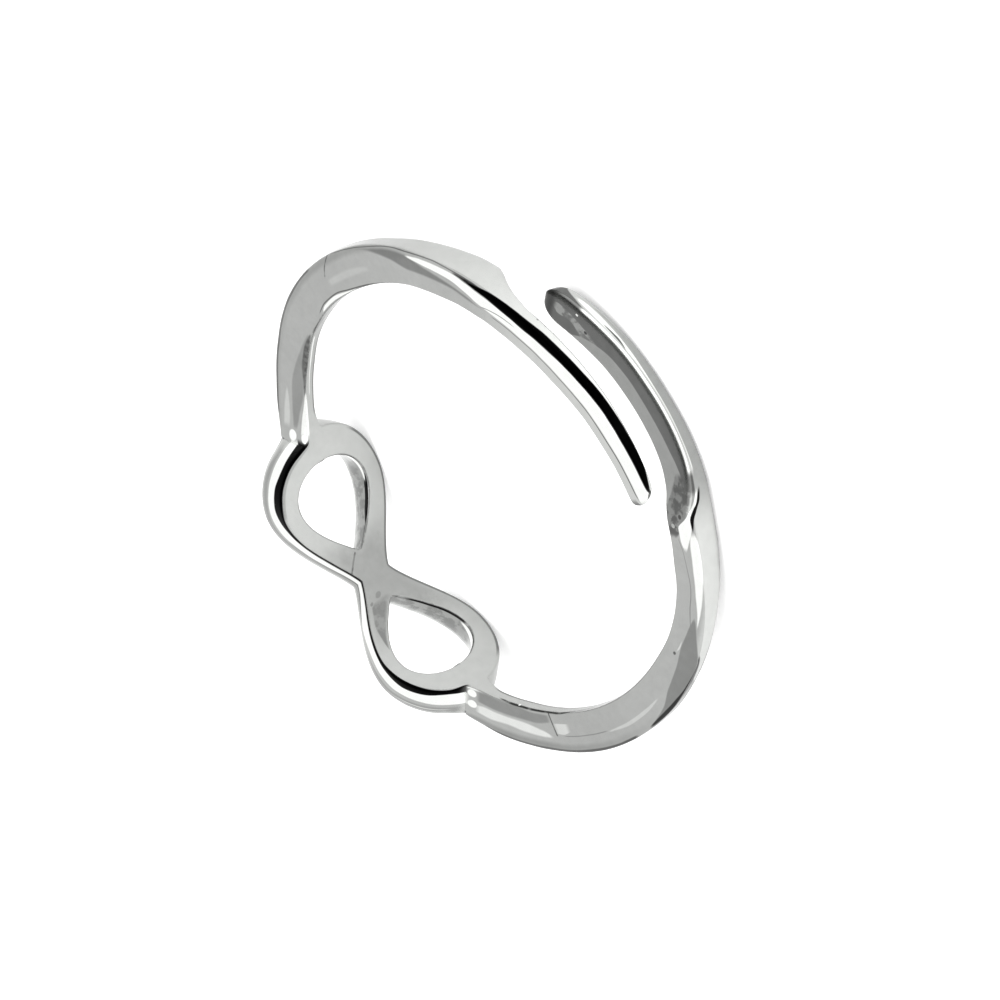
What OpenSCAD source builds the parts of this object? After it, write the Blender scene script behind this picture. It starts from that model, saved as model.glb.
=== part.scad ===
/* [Band] */
// Inside diameter of the ring
inner_d = 16.5; // [15:0.1:21.5]
// Width of the band at its shoulders
band_w = 1.5; // [1.3:0.05:1.9]
// Thickness of the band at its sides
band_t = 1.52; // [1.3:0.02:1.9]
// Width of the rounding along the band's outer edges
edge_w = 0.32; // [0.1:0.02:0.4]
// Height of the rounding along the band's outer edges
edge_h = 0.36; // [0.1:0.02:0.5]

/* [Open ends] */
// How far the second tail lies beside the first
side_step = 2; // [1.7:0.05:2.6]
// Angle from the middle of the infinity to the first tip
first_end = 202.5; // [190:0.5:215]
// Angle from the middle of the infinity to the second tip
second_end = 207.5; // [195:0.5:220]

/* [Infinity] */
// Overall width of the infinity, across the band
motif_w = 4.6; // [4.2:0.05:5.2]
// Distance between the middles of the two lobes, along the inside
lobe_spacing = 6.4; // [6:0.1:7.2]
// Reach of a lobe past its middle, along the inside
lobe_reach = 2.36; // [2.1:0.02:2.7]
// Width of a strand where it runs over a lobe
strand_w = 0.78; // [0.5:0.02:0.95]
// Width of a strand where it meets the band
end_strand_w = 1.16; // [0.8:0.02:1.3]
// Width of the crossing
waist_w = 1.38; // [1:0.02:1.8]
// Length of solid metal between the two holes
crossing_l = 1.9; // [1.4:0.1:2.4]
// Thickness of the lobes
lobe_t = 1.45; // [1.2:0.05:1.9]
// Thickness of the crossing
crossing_t = 1.05; // [0.8:0.05:1.4]
// Width of the rounding of a strand's outer face
dome_w = 0.5; // [0.3:0.02:0.6]

/* [Hidden] */
$fn = 96;

inner_r = inner_d / 2;
// Metal left inside the finger hole, which the last cut takes away
ream = 0.2;
// Height of the finger hole's cutter
cutter_h = 4 * motif_w;
// Solder seams on the inside of the band: angles from the middle of the infinity,
// width and depth
first_seam = 91.7;
second_seam = 63.5;
seam_w = 0.08;
seam_d = 0.04;
// The ring lies on its side: this lifts its lowest edge to the surface
lie_h = max(motif_w / 2, side_step + 0.22 * band_w);

// Mesh columns from the middle of a section to its edge
cols = 6;
// Rows of sections between two lines of a table
steps = 2;
// Rows along a lobe: junction, outer end, inner side, crossing
lobe_rows = [4, 10, 12, 3];

// A strand's side walls, as a share of its thickness, at the crossing and at the lobes
crossing_wall = 0.34;
lobe_wall = 0.5;
// On the side that faces down the walls are lower and the face rounder
down_wall = 0.2;
// How fast the metal thickens from the crossing to the lobes
thicken = 0.8;
// Share of an arm over which its slanting first and last sections turn square
lean_share = 0.12;
// How far the last section's upper edge is ahead of its middle
tip_lean = 0.06;

// Sections of the first arm, from the infinity to its tip.
// Columns: share of the arm's length, middle of the section above the ring's
// middle plane and width, as shares of band_w, and thickness, as a share of band_t
FIRST = [
  [0.000, 0.07, 0.60, 0.93], [0.012, 0.07, 0.48, 0.95], [0.037, 0.06, 0.35, 0.99],
  [0.080, 0.03, 0.31, 1.00], [0.130, 0.03, 0.31, 1.00], [0.180, 0.07, 0.31, 1.00],
  [0.230, 0.10, 0.35, 1.00], [0.275, 0.10, 0.39, 1.00], [0.325, 0.07, 0.43, 1.00],
  [0.375, 0.02, 0.44, 0.98], [0.420, -0.03, 0.48, 0.96], [0.460, -0.06, 0.54, 0.93],
  [0.495, -0.11, 0.67, 0.91], [0.530, -0.14, 0.81, 0.88], [0.570, -0.18, 0.93, 0.86],
  [0.605, -0.22, 0.99, 0.84], [0.624, -0.22, 1.00, 0.83], [0.633, -0.19, 0.95, 0.83],
  [0.654, -0.09, 0.73, 0.83], [0.680, 0.00, 0.56, 0.83], [0.710, 0.04, 0.47, 0.83],
  [0.750, 0.02, 0.47, 0.82], [0.790, 0.00, 0.46, 0.82], [0.825, -0.03, 0.44, 0.80],
  [0.860, -0.05, 0.40, 0.79], [0.900, -0.05, 0.36, 0.77], [0.935, -0.06, 0.32, 0.75],
  [0.978, -0.06, 0.27, 0.70], [1.000, -0.05, 0.18, 0.46]
];

// Sections of the second arm, in the same columns, but the middle of the
// section is a share of side_step, below the ring's middle plane
SECOND = [
  [0.000, -0.05, 0.62, 0.97], [0.012, -0.05, 0.48, 1.02], [0.036, -0.06, 0.35, 1.05],
  [0.065, -0.03, 0.33, 1.07], [0.100, 0.02, 0.32, 1.07], [0.137, 0.05, 0.31, 1.05],
  [0.173, 0.08, 0.32, 1.04], [0.220, 0.13, 0.33, 1.03], [0.268, 0.20, 0.36, 1.01],
  [0.315, 0.27, 0.37, 1.00], [0.363, 0.36, 0.39, 1.00], [0.410, 0.46, 0.39, 0.97],
  [0.446, 0.57, 0.42, 0.93], [0.482, 0.65, 0.50, 0.89], [0.518, 0.72, 0.61, 0.84],
  [0.554, 0.78, 0.75, 0.79], [0.590, 0.81, 0.86, 0.75], [0.625, 0.84, 0.87, 0.75],
  [0.649, 0.85, 0.85, 0.79], [0.667, 0.87, 0.77, 0.84], [0.696, 0.94, 0.58, 0.92],
  [0.732, 0.985, 0.47, 0.97], [0.768, 1.00, 0.44, 0.99], [0.804, 1.00, 0.42, 0.99],
  [0.840, 1.00, 0.43, 0.99], [0.875, 0.99, 0.43, 0.99], [0.910, 0.955, 0.43, 0.99],
  [0.946, 0.905, 0.41, 0.98], [0.978, 0.85, 0.34, 0.93], [1.000, 0.80, 0.19, 0.76]
];

// Each lobe is shaped a little differently above and below its middle.
// Columns: reach above and below as shares of lobe_reach, and half width
// above and below as shares of half the motif's width
LOBES = [
  [0.90, 1.03, 1.00, 1.00],
  [0.95, 1.00, 0.93, 0.985]
];

function mix(a, b, t) = a + (b - a) * t;
function ease(t) = let (c = max(0, min(1, t))) c * c * (3 - 2 * c);

// Slope of a table's column between two rows, and at a row without overshoot
function chord(tab, k, c) = (tab[k + 1][c] - tab[k][c]) / (tab[k + 1][0] - tab[k][0]);
function slope(tab, k, c) =
  k == 0 ? chord(tab, 0, c) :
  k == len(tab) - 1 ? chord(tab, k - 1, c) :
  let (a = chord(tab, k - 1, c), b = chord(tab, k, c))
  a * b <= 0 ? 0 : 2 * a * b / (a + b);

// A column's smooth value at share t of the way from row k to the next
function between(tab, k, c, t) =
  let (span = tab[k + 1][0] - tab[k][0])
  tab[k][c] * (1 + 2 * t) * pow(1 - t, 2) + slope(tab, k, c) * span * t * pow(1 - t, 2)
  + tab[k + 1][c] * t * t * (3 - 2 * t) - slope(tab, k + 1, c) * span * t * t * (1 - t);

function table_row(tab, k, t) = [
  mix(tab[k][0], tab[k + 1][0], t),
  for (c = [1:3]) between(tab, k, c, t)
];

// Lengths along the inside, and heights across it, of a lobe's outline and hole
lobe_at = lobe_spacing / 2;
half_w = motif_w / 2;
tip_at = crossing_l / 2;
hole_reach = lobe_reach - end_strand_w;
hole_half_w = half_w - strand_w;

// Outline past a lobe's middle, by angle, and before it, by length
function end_curve(reach, half, a) = [lobe_at + reach * cos(a), half * sin(a)];
function side_curve(half, s) =
  [s, waist_w / 2 + (half - waist_w / 2) * sin(90 * pow(s / lobe_at, 1.2))];
function hole_end(a) = [lobe_at + hole_reach * cos(a), hole_half_w * sin(a)];
function hole_side(x) = [mix(tip_at, lobe_at, x), hole_half_w * sin(90 * x)];
function flip(p) = [p[0], -p[1]];

// Every row is [middle up, middle down, edge up, edge down, open, kind, thickness].
// The middle runs round the hole where a hole is, and kind is 1 on an arm,
// and root holds the lengths at which its upper and its lower edge leave the lobe
function arm_row(row, root, end, step) =
  let (
    s = mix((root[0] + root[1]) / 2, end * PI / 180 * inner_r, row[0]),
    lean = (root[0] - root[1]) / 2 * (1 - ease(row[0] / lean_share))
      + tip_lean * ease(1 - (1 - row[0]) / lean_share),
    z = row[1] * step,
    w = row[2] * band_w / 2
  )
  [[s, z], [s, z], [s + lean, z + w], [s - lean, z - w], false, 1, row[3] * band_t];

function arm_rows(tab, root, end, step) = [
  for (k = [0:len(tab) - 2], i = [0:steps - 1]) arm_row(table_row(tab, k, i / steps), root, end, step),
  arm_row(tab[len(tab) - 1], root, end, step)
];

// Thickness of the motif at a length from the crossing
function motif_t(s) = mix(crossing_t, lobe_t, pow(min(1, s / lobe_at), thicken));

function lobe_row(mid, up, down, open) =
  [mid, open ? flip(mid) : mid, up, flip(down), open, 0, motif_t(up[0])];

function lobe_rows_of(shape, first) =
  let (
    up_reach = shape[0] * lobe_reach,
    down_reach = shape[1] * lobe_reach,
    up_half = shape[2] * half_w,
    down_half = shape[3] * half_w,
    up_a = asin(first[2][1] / up_half),
    down_a = asin(-first[3][1] / down_half),
    turn_a = 28,
    turn_s = waist_w * 0.3,
    hole_at = hole_end(0)
  )
  [
    for (i = [1:lobe_rows[0] - 1])
      let (k = i / lobe_rows[0])
      lobe_row([mix(first[0][0], hole_at[0], k), first[0][1] * (1 - k)],
        end_curve(up_reach, up_half, mix(up_a, turn_a, pow(k, 1.5))),
        end_curve(down_reach, down_half, mix(down_a, turn_a, pow(k, 1.5))), false),
    for (i = [0:lobe_rows[1] - 1])
      let (k = i / lobe_rows[1], a = mix(turn_a, 90, k))
      lobe_row(hole_end(90 * k), end_curve(up_reach, up_half, a),
        end_curve(down_reach, down_half, a), i > 0),
    for (i = [0:lobe_rows[2]])
      let (k = i / lobe_rows[2], s = mix(lobe_at, turn_s, k))
      lobe_row(hole_side(1 - k), side_curve(up_half, s), side_curve(down_half, s),
        i < lobe_rows[2]),
    for (i = [1:lobe_rows[3]])
      let (k = i / lobe_rows[3], s = turn_s * (1 - k))
      lobe_row([tip_at * (1 - k), 0], side_curve(up_half, s), side_curve(down_half, s), false)
  ];

// Where the upper and the lower edge of an arm leave the outline of its lobe
function root_at(shape, row, step) =
  let (
    z = row[1] * step,
    w = row[2] * band_w / 2
  )
  [
    lobe_at + lobe_reach * shape[0] * cos(asin((z + w) / (shape[2] * half_w))),
    lobe_at + lobe_reach * shape[1] * cos(asin((w - z) / (shape[3] * half_w)))
  ];

function half_ring(tab, shape, end, step) =
  let (
    root = root_at(shape, tab[0], step),
    arm = arm_rows(tab, root, end, step),
    lobe = lobe_rows_of(shape, arm[0])
  )
  [for (i = [len(arm) - 1:-1:0]) arm[i], each lobe];

// Turns a row to the other side of the crossing
function other(row) = [
  for (p = [0:3]) [-row[p][0], row[p][1]],
  row[4], row[5], row[6]
];

function ring_rows() =
  let (
    a = half_ring(FIRST, LOBES[0], first_end, band_w),
    b = half_ring(SECOND, LOBES[1], second_end, -side_step)
  )
  [for (r = a) other(r), for (i = [len(b) - 2:-1:0]) b[i]];

// Rise of a rounded face over its width: a quarter of an ellipse
function dome(d, w) = sqrt(1 - pow(1 - min(1, d / w), 2));

// How far a row is towards the arm, over the last stretch of the lobe
join_l = 0.4;
function to_arm(row) =
  row[5] == 1 ? 1 : ease((abs(row[2][0]) - lobe_at - 0.78 * lobe_reach) / join_l);

// Height of the outer face at share v of the way from a row's middle to its edge
function face_h(row, up, v) =
  let (
    mid = up ? row[0] : row[1],
    edge = up ? row[2] : row[3],
    p = mix(mid, edge, v),
    m = to_arm(row),
    s = min(1, abs(row[2][0]) / lobe_at),
    t = mix(row[6], row[5] == 1 ? row[6] : FIRST[0][3] * band_t, row[5] == 1 ? 0 : m),
    wall_share = up ? mix(crossing_wall, lobe_wall, pow(s, thicken)) : down_wall,
    wall = mix(wall_share * t, t - edge_h, m),
    round_w = mix(dome_w, min(edge_w, 0.46 * norm(row[2] - row[3])), m),
    hole_d = row[4] ? norm(p - mid) : norm(p - hole_tip(row))
  )
  wall + (t - wall) * dome(norm(p - edge), round_w) * (row[5] == 1 ? 1 : mix(dome(hole_d, dome_w), 1, m));

// The end of the hole that a closed row lies nearest to
function hole_tip(row) =
  let (
    s = abs(row[0][0]),
    side = row[2][0] < 0 ? -1 : 1
  )
  [side * (s < lobe_at ? tip_at : lobe_at + hole_reach), 0];

// A place along and across the inside, at a height over it, in the ring's own space
function wrap(p, h) =
  let (
    a = p[0] / inner_r * 180 / PI,
    r = inner_r + h
  )
  [r * cos(a), r * sin(a), p[1]];

// Points of one half of a row: outer face from middle to edge, then the inside
function half_points(row, up) =
  let (mid = up ? row[0] : row[1], edge = up ? row[2] : row[3])
  [
    for (j = [0:cols])
      let (v = (1 - cos(180 * j / cols)) / 2)
      wrap(mix(mid, edge, v), face_h(row, up, v)),
    wrap(edge, -ream),
    wrap(mid, -ream)
  ];

// Numbers of points: n(row, half, column), where a closed row's halves share their middle
half_n = cols + 3;
function n(rows, i, up, j) =
  let (shared = !rows[i][4] && (j == 0 || j == cols + 2))
  (2 * i + (up || shared ? 0 : 1)) * half_n + j;

// Two triangles, turned outwards for the upper half and mirrored for the lower
function quad(a, b, c, d, up) = up ? [[a, c, b], [a, d, c]] : [[a, b, c], [a, c, d]];

function strip(rows, i, up) = [
  for (j = [0:cols + 1])
    each quad(n(rows, i, up, j), n(rows, i, up, j + 1), n(rows, i + 1, up, j + 1), n(rows, i + 1, up, j), !up),
  if (rows[i][4] || rows[i + 1][4])
    each quad(n(rows, i, up, cols + 2), n(rows, i, up, 0), n(rows, i + 1, up, 0),
      n(rows, i + 1, up, cols + 2), !up)
];

// A tip's flat end, as a fan across both halves from the middle of the outer face
function cap(rows, i, turned) = [
  for (up = [true, false], j = [1:cols + 1])
    let (a = n(rows, i, up, 0), b = n(rows, i, up, j), c = n(rows, i, up, j + 1))
    turned == up ? [a, b, c] : [a, c, b]
];

// The whole ring as one skin, from the first tip through the infinity to the second
module skin() {
  rows = ring_rows();
  last = len(rows) - 1;
  points = [for (r = rows) each concat(half_points(r, true), half_points(r, false))];
  faces = [
    for (i = [0:last - 1], up = [true, false]) each strip(rows, i, up),
    each cap(rows, 0, false),
    each cap(rows, last, true)
  ];
  polyhedron(points, faces);
}

module finger_hole() {
  cylinder(r = inner_r, h = cutter_h, center = true);
}

// A fine groove across the inside of the band, where it was soldered
module seam(angle) {
  rotate([0, 0, angle])
    translate([inner_r, 0, 0])
      cube([2 * seam_d, seam_w, cutter_h], center = true);
}

module infinity_ring() {
  color("silver")
    translate([0, 0, lie_h])
      difference() {
        skin();
        finger_hole();
        seam(-first_seam);
        seam(second_seam);
      }
}

infinity_ring();
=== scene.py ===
"""Looks of the infinity ring: its polished silver surface, the floor, the light and the camera.

Laid out as a Blender add-on. Sizes are in metres in the properties, and in millimetres in the tables and in
the functions that make the surface.
"""

from types import SimpleNamespace

import bpy
import numpy as np
from mathutils import Matrix, Vector


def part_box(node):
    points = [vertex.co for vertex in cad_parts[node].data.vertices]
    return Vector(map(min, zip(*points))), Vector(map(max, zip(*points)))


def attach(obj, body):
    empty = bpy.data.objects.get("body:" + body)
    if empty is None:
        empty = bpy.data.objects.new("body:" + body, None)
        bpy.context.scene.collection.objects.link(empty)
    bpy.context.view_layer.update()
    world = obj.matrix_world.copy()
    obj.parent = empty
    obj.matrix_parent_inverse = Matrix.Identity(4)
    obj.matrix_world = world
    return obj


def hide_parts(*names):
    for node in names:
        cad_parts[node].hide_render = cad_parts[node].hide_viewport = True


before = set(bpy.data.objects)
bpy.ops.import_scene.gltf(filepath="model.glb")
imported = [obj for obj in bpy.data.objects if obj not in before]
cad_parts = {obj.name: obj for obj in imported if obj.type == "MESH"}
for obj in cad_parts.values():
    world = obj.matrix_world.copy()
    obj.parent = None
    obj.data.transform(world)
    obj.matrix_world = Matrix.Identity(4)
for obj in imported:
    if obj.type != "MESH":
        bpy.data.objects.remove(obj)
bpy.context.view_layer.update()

bl_info = {
    "name": "Infinity Ring",
    "version": (1, 0, 0),
    "blender": (4, 5, 0),
    "location": "View3D > Sidebar > Ring",
    "description": "Builds the infinity ring's silver surface and a plain studio round it",
    "category": "Add Mesh",
}

NODE = "infinity_ring"
# The entries of a set of rows that hold places above and below.
PLACES = ("mid", "edge")
# Columns of the section: inner face, rounding, side wall, outer face, then the hole's wall and rounding.
INNER_N, ROUND_N, WALL_N, FACE_N, HOLE_N = 6, 6, 7, 28, 7
FACE_END = INNER_N + ROUND_N + WALL_N + FACE_N
# Rows along half the ring: a tail's tip, its arm, a lobe's outer end, its round and its side, the crossing.
TIP_ROWS, ARM_ROWS, END_ROWS, BOW_ROWS, FLANK_ROWS, CROSS_ROWS = 14, 300, 25, 61, 73, 19

# Sections of the first and the second arm, from the motif to the tip. Columns: share of the arm's length,
# place across the ring, in band widths up or in side steps down, width and thickness as shares of the band's.
FIRST = np.array([
    [0.000, 0.07, 0.60, 0.93], [0.012, 0.07, 0.48, 0.95], [0.037, 0.06, 0.35, 0.99],
    [0.080, 0.03, 0.31, 1.00], [0.130, 0.03, 0.31, 1.00], [0.180, 0.07, 0.31, 1.00],
    [0.230, 0.10, 0.35, 1.00], [0.275, 0.10, 0.39, 1.00], [0.325, 0.07, 0.43, 1.00],
    [0.375, 0.02, 0.44, 0.98], [0.420, -0.03, 0.48, 0.96], [0.460, -0.06, 0.54, 0.93],
    [0.495, -0.11, 0.67, 0.91], [0.530, -0.14, 0.81, 0.88], [0.570, -0.18, 0.93, 0.86],
    [0.605, -0.22, 0.99, 0.84], [0.624, -0.22, 1.00, 0.83], [0.633, -0.19, 0.95, 0.83],
    [0.654, -0.09, 0.73, 0.83], [0.680, 0.00, 0.56, 0.83], [0.710, 0.04, 0.47, 0.83],
    [0.750, 0.02, 0.47, 0.82], [0.790, 0.00, 0.46, 0.82], [0.825, -0.03, 0.44, 0.80],
    [0.860, -0.05, 0.40, 0.79], [0.900, -0.05, 0.36, 0.77], [0.935, -0.06, 0.32, 0.75],
    [0.978, -0.06, 0.27, 0.70], [1.000, -0.05, 0.18, 0.46]])
SECOND = np.array([
    [0.000, -0.05, 0.62, 0.97], [0.012, -0.05, 0.48, 1.02], [0.036, -0.06, 0.35, 1.05],
    [0.065, -0.03, 0.33, 1.07], [0.100, 0.02, 0.32, 1.07], [0.137, 0.05, 0.31, 1.05],
    [0.173, 0.08, 0.32, 1.04], [0.220, 0.13, 0.33, 1.03], [0.268, 0.20, 0.36, 1.01],
    [0.315, 0.27, 0.37, 1.00], [0.363, 0.36, 0.39, 1.00], [0.410, 0.46, 0.39, 0.97],
    [0.446, 0.57, 0.42, 0.93], [0.482, 0.65, 0.50, 0.89], [0.518, 0.72, 0.61, 0.84],
    [0.554, 0.78, 0.75, 0.79], [0.590, 0.81, 0.86, 0.75], [0.625, 0.84, 0.87, 0.75],
    [0.649, 0.85, 0.85, 0.79], [0.667, 0.87, 0.77, 0.84], [0.696, 0.94, 0.58, 0.92],
    [0.732, 0.985, 0.47, 0.97], [0.768, 1.00, 0.44, 0.99], [0.804, 1.00, 0.42, 0.99],
    [0.840, 1.00, 0.43, 0.99], [0.875, 0.99, 0.43, 0.99], [0.910, 0.955, 0.43, 0.99],
    [0.946, 0.905, 0.41, 0.98], [0.978, 0.85, 0.36, 0.96], [1.000, 0.80, 0.28, 0.92]])
# The first and the second lobe: reach above and below, and half width above and below, as shares of the
# lobe's reach and of half the motif's width.
LOBES = ((0.90, 1.03, 1.00, 1.00), (0.95, 1.00, 0.93, 0.985))
# How the first and the second tail end: length of the tip (mm), power of its outline, where 2 is an ellipse,
# and the height that it closes on, as a share of its thickness.
TIP_L, TIP_POWER, TIP_CORE = (0.18, 0.90), (16, 4), (0.50, 0.52)

# Painted tones of light and shade on each part, 0 to 1. Columns: along (mm), inner face, side wall, outer
# face.
PAINTED_TONES = np.array([
    [-29, 0.60, 0.80, 0.95], [-26, 0.70, 0.80, 0.95], [-23, 0.70, 0.80, 0.85], [-20, 0.70, 0.70, 0.75],
    [-16, 0.70, 0.70, 0.65], [-12, 0.65, 0.68, 0.60], [-10, 0.64, 0.68, 0.62], [-6, 0.72, 0.70, 0.64],
    [-4, 0.74, 0.72, 0.62], [-2, 0.72, 0.74, 0.66], [0, 0.60, 0.68, 0.62], [2, 0.68, 0.74, 0.64],
    [4, 0.72, 0.72, 0.60], [8, 0.70, 0.70, 0.58], [10, 0.65, 0.68, 0.60], [14, 0.65, 0.70, 0.70],
    [18, 0.65, 0.70, 0.80], [21, 0.65, 0.70, 0.80], [23, 0.65, 0.60, 0.62], [26, 0.64, 0.60, 0.62],
    [30, 0.60, 0.58, 0.80]])

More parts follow.
